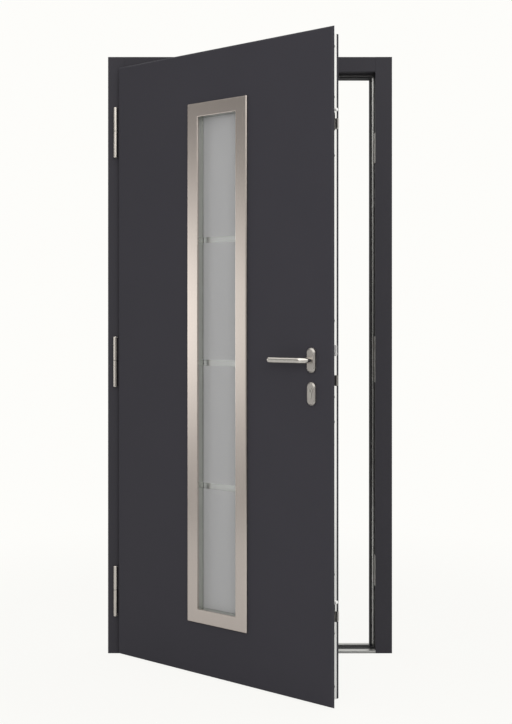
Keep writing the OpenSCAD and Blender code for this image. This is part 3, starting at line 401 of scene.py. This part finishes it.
def turned_screw(length, head_r, shank_r, head_t):
    """A countersunk screw along Z with its head up at the origin."""
    land = 0.2 * head_r
    arm, slot = 0.58 * head_r, 0.15 * head_r
    recess_depth, recess_taper = 0.8 * head_t, 0.7
    screw = bmesh.new()
    bmesh.ops.create_circle(screw, cap_ends=True, radius=head_r, segments=24)
    rim = list(screw.edges)
    for narrowing, drop in ((shank_r / head_r, head_t), (1.0, length - head_t)):
        made = bmesh.ops.extrude_edge_only(screw, edges=rim)["geom"]
        corners = [part for part in made if isinstance(part, bmesh.types.BMVert)]
        rim = [part for part in made if isinstance(part, bmesh.types.BMEdge)
               and all(end in corners for end in part.verts)]
        bmesh.ops.scale(screw, vec=(narrowing, narrowing, 1), verts=corners)
        bmesh.ops.translate(screw, vec=(0, 0, -drop), verts=corners)
    bmesh.ops.edgeloop_fill(screw, edges=rim)
    screw.faces.ensure_lookup_table()
    top = max(screw.faces, key=lambda face: face.calc_center_median().z)
    bmesh.ops.inset_individual(screw, faces=[top], thickness=land)
    for corner in top.verts:
        cross_recess(corner, arm, slot)
    sunk = bmesh.ops.extrude_discrete_faces(screw, faces=[top])["faces"][0]
    bmesh.ops.scale(screw, vec=(recess_taper, recess_taper, 1), verts=sunk.verts)
    bmesh.ops.translate(screw, vec=(0, 0, -recess_depth), verts=sunk.verts)
    bmesh.ops.recalc_face_normals(screw, faces=screw.faces)
    return screw


def screw_set(name, node, body, axis, material):
    """Screws in the places of a CAD piece's plain ones, each turned to its own angle."""
    end_play = 2e-5
    head_share = 0.55
    turn_step = 0.7
    whole = bmesh.new()
    for number, group in enumerate(islands(node)):
        group.sort(key=lambda corner: corner.dot(axis))
        low, high = group[0].dot(axis), group[-1].dot(axis)
        ends = []
        for level in (low, high):
            disc = [corner for corner in group if abs(corner.dot(axis) - level) < end_play]
            middle = sum(disc, Vector()) / len(disc)
            ends.append((max((corner - middle).length for corner in disc), middle))
        (shank_r, tip), (head_r, seat) = sorted(ends, key=lambda end: end[0])
        screw = turned_screw(high - low, head_r, shank_r, head_share * head_r)
        turn = (seat - tip).to_track_quat("Z", "Y").to_matrix().to_4x4()
        place = Matrix.Translation(seat) @ turn @ Matrix.Rotation(turn_step * number, 4, "Z")
        bmesh.ops.transform(screw, matrix=place, verts=screw.verts)
        part = bpy.data.meshes.new("screw")
        screw.to_mesh(part)
        screw.free()
        whole.from_mesh(part)
        bpy.data.meshes.remove(part)
    data = bpy.data.meshes.new(name)
    whole.to_mesh(data)
    whole.free()
    data.materials.append(material)
    piece = bpy.data.objects.new(name, data)
    scene.collection.objects.link(piece)
    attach(piece, body)
    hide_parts(node)


plated_grain = (0.0008, 0.0008, 0.0008)
zinc = drawn_metal("zinc_plate", colour=(0.5, 0.5, 0.49), matt_level=0.3, grain=plated_grain, streak=0.25)
screw_set("strike_and_hinge_screws", "frame_screws", "frame", Vector((1, 0, 0)), zinc)


# The inside of the leaf: bars of black-stained laminated board along its four edges and a core
# of rigid yellow foam, glued between the skins.
leaf_turn = math.radians(swing["range_deg"][0])
fibre_grain = (0.004, 0.004, 0.3)
board, start = new_finish("stained_edge_board")
fibre = mottle(along_grain(own_place(start), fibre_grain, leaf_turn), scale=1.0, detail=5.0, roughness=0.7)
cover_with(start.node("BsdfPrincipled", {}, {
    "Base Color": tone_of(fibre, dark=(0.02, 0.018, 0.017), light=(0.042, 0.037, 0.034)),
    "Roughness": 0.6 + 0.15 * fibre,
    "Specular IOR Level": 0.3,
    "Normal": relief(fibre, strength=0.2, distance=0.0004)}))
dress(board, "lock_stile", "hinge_stile", "top_rail", "bottom_rail")

foam, start = new_finish("rigid_foam")
cell = start.node("TexVoronoi", {}, {"Vector": own_place(start), "Scale": 700.0}, "Distance")
cover_with(start.node("BsdfPrincipled", {}, {
    "Base Color": tone_of(cell, dark=(0.62, 0.52, 0.3), light=(0.78, 0.69, 0.44), low=0.1, high=0.6),
    "Roughness": 0.8 + 0.1 * cell,
    "Normal": relief(cell, strength=0.5, distance=0.0005)}))
dress(foam, "foam_core")


# The skins of the leaf: sheet steel trays, the front one folded round into a lip that covers
# the gap to the frame, powder-coated to match it, with a rubber seal under the foot.
leaf_paint = {"dark": (0.035, 0.0335, 0.0405), "light": (0.039, 0.037, 0.0445), "matt_level": 0.56}
leaf_coat, start = new_finish("leaf_powder_coat")
cover_with(baked_paint(start, **leaf_paint))
dress(leaf_coat, "front_skin", "rear_skin")
dress(seal_rubber, "bottom_seal")


# The leaf's hinge halves: the upper knuckles with their feet and straps, of the same stainless
# steel, behind the lip and screwed to the hinge edge.
leaf_halves = [f"{level}_hinge_leaf_half" for level in hinge_levels]
dress(hinge_steel, *leaf_halves)
soften(deburred_edge, *leaf_halves)


# The glass: two panes 4 mm thick, etched to a satin finish, the front one with three bands left
# clear, held apart by an aluminium spacer and bedded in black rubber gaskets.
glass_ior = 1.5


def etched_glass(start, tint, matt_level):
    """Glass with a satin-etched face that scatters what lies behind it."""
    place = own_place(start)
    etch = mottle(place, scale=1500.0, detail=2.0, roughness=0.6)
    haze = mottle(place, scale=3.0, detail=2.0, roughness=0.5)
    return start.node("BsdfPrincipled", {}, {
        "Base Color": tint,
        "Roughness": matt_level + 0.06 * haze + 0.06 * etch,
        "Transmission Weight": 0.55,
        "IOR": glass_ior,
        "Specular IOR Level": 0.35})


band_levels = (0.626, 1.032, 1.437)
band_half = 0.0098
front_glass, start = new_finish("banded_satin_glass")
satin = etched_glass(start, tint=(0.625, 0.625, 0.63, 1), matt_level=0.32)
clear = start.node("BsdfPrincipled", {}, {
    "Base Color": (0.9, 0.915, 0.905, 1), "Roughness": 0.03, "Transmission Weight": 1.0, "IOR": glass_ior})
level = start.node("SeparateXYZ", {}, {0: own_place(start)}, "Z")
low_band, middle_band, top_band = (
    start.node("Math", {"operation": "COMPARE"}, {0: level, 1: middle, 2: band_half})
    for middle in band_levels)
cover_with(start.node("MixShader", {}, {0: low_band + middle_band + top_band, 1: satin, 2: clear}))
dress(front_glass, "front_pane")

rear_glass, start = new_finish("satin_glass")
cover_with(etched_glass(start, tint=(0.86, 0.86, 0.86, 1), matt_level=0.1))
dress(rear_glass, "rear_pane")

spacer_metal = drawn_metal("spacer_aluminium", colour=(0.96, 0.96, 0.95), matt_level=0.1, grain=upright,
                           turn=leaf_turn)
dress(spacer_metal, "pane_spacer")
dress(seal_rubber, "glazing_gaskets")


# The surrounds: stainless sheet folded to a raised face and a reveal, one on either side of the
# leaf and clamped together through it. The face is brushed, the reveal has its dull mill finish.
front_fold = (-0.0535, -0.0525)
rear_fold = (0.001, 0.002)
fold_edge = 0.0019
surround_steel, start = new_finish("surround_steel")
in_leaf = start.node("Mapping", {"vector_type": "TEXTURE"}, {
    "Vector": own_place(start), "Location": hinge_axis, "Rotation": (0, 0, leaf_turn)})
depth_in = start.node("SeparateXYZ", {}, {0: in_leaf}, "Y") + swing["pos_m"][1]
reveal = depth_in.step(*front_fold) * (1 - depth_in.step(*rear_fold))
raised_face = brushed(start, colour=(0.66, 0.59, 0.545), matt_level=0.15, grain=upright,
                      turn=leaf_turn, streak=0.06)
mill_finish = brushed(start, colour=(0.66, 0.675, 0.63), matt_level=0.22, grain=upright,
                      turn=leaf_turn, streak=0.1)
cover_with(start.node("MixShader", {}, {0: reveal, 1: raised_face, 2: mill_finish}))
dress(surround_steel, "front_surround", "rear_surround")
soften(fold_edge, "front_surround", "rear_surround")


# The lock: a long stainless strip let into the edge, zinc-plated cases behind it, and flat rods
# between them that carry the turn of the key to the outer units. The follower, cam, spindle and
# handle bolts inside have the same plating as the cases.
cast_grain = (0.003, 0.003, 0.003)
strip_steel = drawn_metal("lock_strip_steel", colour=(0.95, 0.945, 0.93), matt_level=0.24, grain=upright,
                          turn=leaf_turn, streak=0.05)
case_steel = drawn_metal("lock_case_zinc", colour=(0.42, 0.42, 0.42), matt_level=0.34, grain=cast_grain,
                         streak=0.3)
dress(strip_steel, "lock_strip")
dress(case_steel, "main_lock_case", "upper_lock_case", "lower_lock_case", "upper_drive_rod",
      "lower_drive_rod", "follower", "cylinder_cam", "spindle", "handle_bolts")


# The bolts: a dark hardened dead bolt, paler steel hooks, and a nickel-plated latch and round
# bolts, all ground smooth where they slide through the strip; the latch and round bolts carry a
# painted highlight, a near-white, mostly diffuse colour that keeps them bright in the lip's shade.
ground_grain = (0.002, 0.002, 0.002)
hard_steel = drawn_metal("hardened_steel", colour=(0.28, 0.265, 0.25), matt_level=0.34, grain=ground_grain,
                         streak=0.3)
hook_steel = drawn_metal("hook_steel", colour=(0.6, 0.58, 0.56), matt_level=0.3, grain=ground_grain,
                         streak=0.2)
# Near-white and only a quarter bare metal: a painted highlight on the latch and round bolts.
nickel_painted_highlight = drawn_metal("nickel_painted_highlight", colour=(0.94, 0.93, 0.91), matt_level=0.3, grain=ground_grain,
                            streak=0.05, bare_share=0.25)
dress(hard_steel, "dead_bolt")
dress(hook_steel, "upper_hook", "lower_hook")
dress(nickel_painted_highlight, "latch_bolt", "upper_round_bolt", "lower_round_bolt")
soften(deburred_edge, "dead_bolt", "upper_hook", "lower_hook", "latch_bolt")


# The cylinder: a nickel-plated brass body with a turning plug at either end, each with a
# keyway, fixed by one long screw through the lock strip.
satin_nickel = drawn_metal("satin_nickel", colour=(0.56, 0.54, 0.5), matt_level=0.28, grain=ground_grain,
                           streak=0.12)
dress(satin_nickel, "cylinder_body", "front_plug", "rear_plug")
leaf_across = Vector((math.cos(leaf_turn), math.sin(leaf_turn), 0))
screw_set("cylinder_fixing_screw", "cylinder_screw", "leaf", leaf_across, zinc)


# The leaf's screws: the same countersunk zinc-plated screws as in the frame, turned into the
# edge bars through the lock strip and the hinge straps.
screw_set("strip_and_hinge_screws", "leaf_screws", "leaf", leaf_across, zinc)


# The roses and keyhole covers: oval plates of pressed stainless steel on both sides of the
# leaf, with a matt brushed face, bolted to each other through it.
rose_edge = 0.0018
rose_steel = drawn_metal("rose_steel", colour=(0.52, 0.49, 0.46), matt_level=0.36, grain=upright,
                         turn=leaf_turn, streak=0.12)
dress(rose_steel, "front_rose", "rear_rose", "front_key_cover", "rear_key_cover")
soften(rose_edge, "front_rose", "rear_rose")


# The levers: bent round stainless bar with a closed end, polished to a satin sheen, one on
# either side on a common square spindle.
lever_edge = 0.0015
lever_steel = drawn_metal("lever_steel", colour=(0.68, 0.65, 0.61), matt_level=0.13, grain=crosswise,
                          turn=leaf_turn, streak=0.05)
dress(lever_steel, "front_lever", "rear_lever")
soften(lever_edge, "front_lever", "rear_lever")
